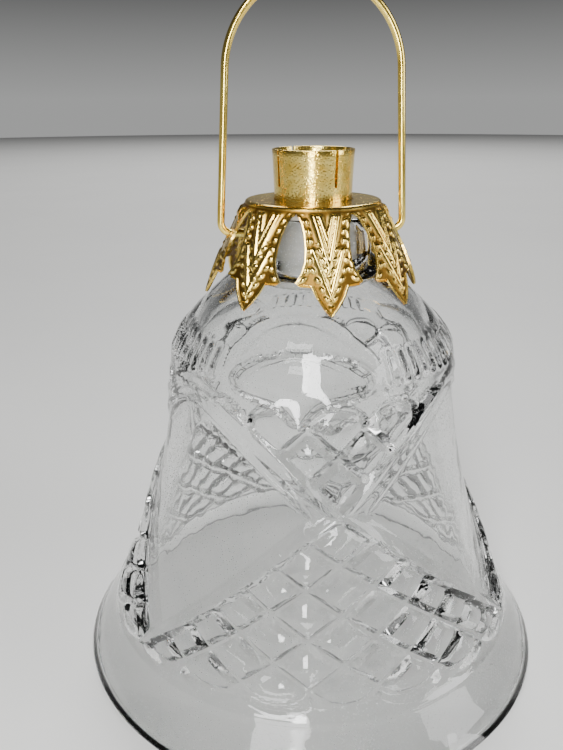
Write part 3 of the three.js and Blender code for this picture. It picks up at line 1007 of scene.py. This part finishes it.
def studioFloor():
    clearSelection()
    bpy.ops.mesh.primitive_circle_add(vertices=128, radius=1.7, fill_type="NGON")
    floor = bpy.context.object
    floor.name = "studio_floor"
    material, tree, shader, place = newMaterial("pale_floor")
    grain = addNode(tree, "ShaderNodeTexNoise", Scale=14.0, Detail=4.0)
    join(tree, place, grain, "Object", "Vector")
    tone = addNode(tree, "ShaderNodeMix", data_type="RGBA")
    tone.inputs[6].default_value = (0.72, 0.72, 0.7, 1)
    tone.inputs[7].default_value = (0.66, 0.66, 0.645, 1)
    join(tree, grain, tone, "Fac", 0)
    join(tree, tone, shader, 2, "Base Color")
    shader.inputs["Roughness"].default_value = 0.55
    floor.data.materials.append(material)


def softLight(name, place, target, size, power):
    data = bpy.data.lights.new(name, "AREA")
    data.shape = "RECTANGLE"
    data.size, data.size_y = size
    data.energy = power
    light = bpy.data.objects.new(name, data)
    light.location = place
    light.rotation_euler = (Vector(target) - Vector(place)).to_track_quat("-Z", "Y").to_euler()
    bpy.context.scene.collection.objects.link(light)


# place, size and power of each light; the sky is pale at the horizon and darker above
studio = {
    "middle": (0, 0, 0.04),
    "lights": {
        "key": ((-0.16, -0.36, 0.42), (0.2, 0.2), 3.2),
        "fill": ((0.42, -0.2, 0.22), (0.22, 0.3), 1.2),
        "back": ((0.2, 1.0, 0.95), (0.7, 0.5), 15.0),
        "front": ((-0.04, -0.17, 0.085), (0.022, 0.09), 0.24),
    },
    "sky": [(0.0, (0.62, 0.625, 0.62, 1)), (0.12, (0.22, 0.222, 0.22, 1)), (0.6, (0.09, 0.09, 0.095, 1))],
    "skyStrength": 0.6,
}


def studioLight():
    for name, (place, size, power) in studio["lights"].items():
        softLight(name, place, studio["middle"], size, power)
    world = bpy.data.worlds.new("studio")
    bpy.context.scene.world = world
    world.use_nodes = True
    tree = world.node_tree
    tree.nodes.clear()
    out = tree.nodes.new("ShaderNodeOutputWorld")
    back = tree.nodes.new("ShaderNodeBackground")
    place = tree.nodes.new("ShaderNodeTexCoord")
    split = tree.nodes.new("ShaderNodeSeparateXYZ")
    ramp = tree.nodes.new("ShaderNodeValToRGB")
    ramp.color_ramp.elements.new(studio["sky"][1][0])
    for element, (position, colour) in zip(ramp.color_ramp.elements, studio["sky"]):
        element.position = position
        element.color = colour
    tree.links.new(place.outputs["Generated"], split.inputs[0])
    tree.links.new(split.outputs["Z"], ramp.inputs["Fac"])
    tree.links.new(ramp.outputs["Color"], back.inputs["Color"])
    tree.links.new(back.outputs["Background"], out.inputs["Surface"])
    back.inputs["Strength"].default_value = studio["skyStrength"]


view = {
    "lens": 34.56, "sensor": 36, "near": 0.01, "place": (-0.0163, -0.0972, 0.0797),
    "pitch": -21.05, "heading": 7.0, "roll": -0.29,
}


def camera():
    data = bpy.data.cameras.new("camera")
    data.lens = view["lens"]
    data.sensor_width = view["sensor"]
    data.clip_start = view["near"]
    eye = bpy.data.objects.new("camera", data)
    eye.location = view["place"]
    pitch, heading, roll = [math.radians(view[name]) for name in ("pitch", "heading", "roll")]
    look = Vector((math.sin(heading) * math.cos(pitch), math.cos(heading) * math.cos(pitch), math.sin(pitch)))
    turn = look.to_track_quat("-Z", "Y").to_matrix()
    eye.rotation_euler = turn.to_euler()
    eye.rotation_euler.rotate_axis("Z", roll)
    bpy.context.scene.collection.objects.link(eye)
    bpy.context.scene.camera = eye


camera()
glassBell()
leafCap()
socketSleeve()
bailWire()
neckLiner()
capGasket()
studioFloor()
studioLight()
print("all pieces made")
